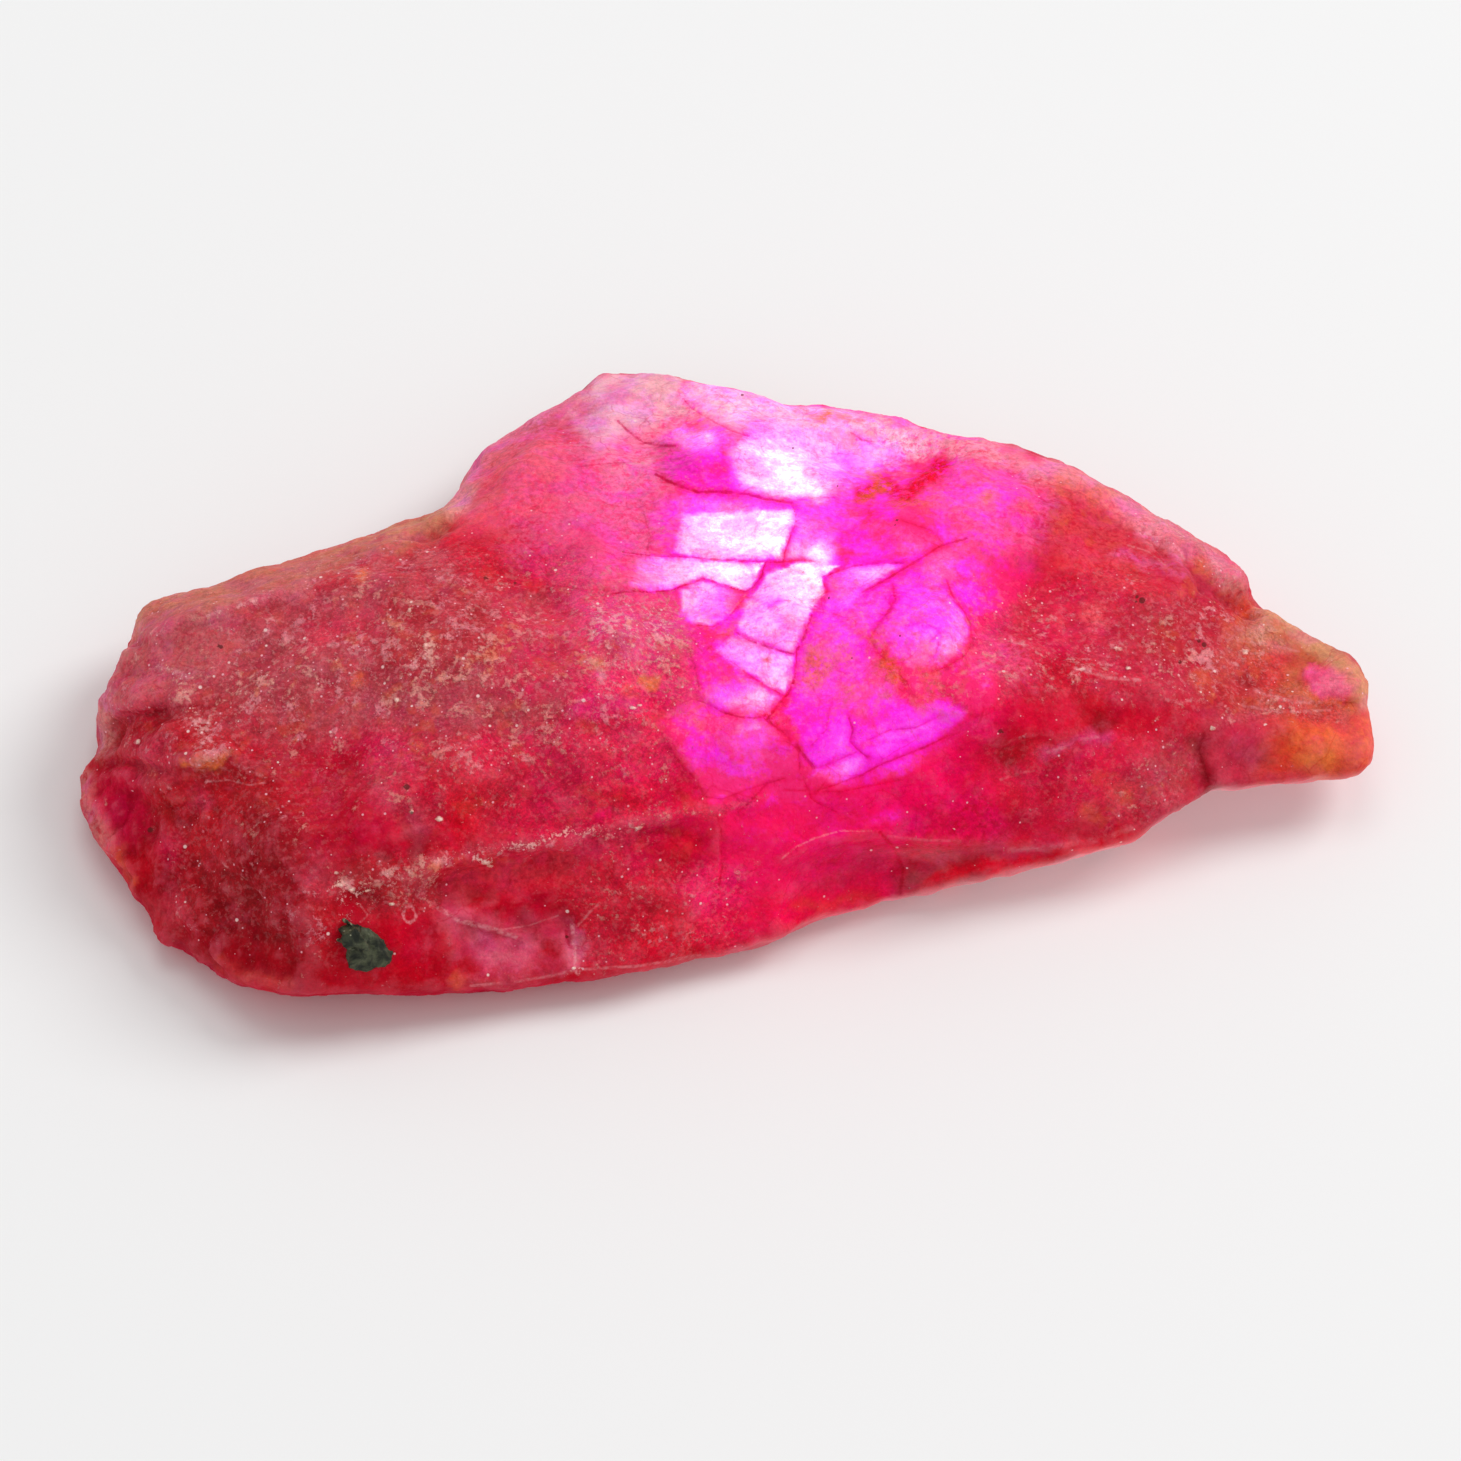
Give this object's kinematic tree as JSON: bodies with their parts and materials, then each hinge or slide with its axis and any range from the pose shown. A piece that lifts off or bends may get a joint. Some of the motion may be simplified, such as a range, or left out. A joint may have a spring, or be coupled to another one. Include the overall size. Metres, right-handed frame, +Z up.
{
  "type": "rough ruby",
  "caption": "Rough, uncut ruby: a broken crimson crystal lump, blunt at one end, with a short tan tail, a glowing magenta cracked middle and a dark mineral grain.",
  "frame": {"origin": "centre of the stone's footprint box, on the table plane under the sole", "axes": "+X from the blunt end towards the tail, +Y away from the side that faces the viewer, +Z up"},
  "size_m": [0.0416, 0.0248, 0.0081],
  "materials": {
    "ruby": "broken crystal surface, waxy to glassy, translucent crimson"
  },
  "bodies": {
    "root": {"ruby": "ruby"}
  },
  "joints": []
}
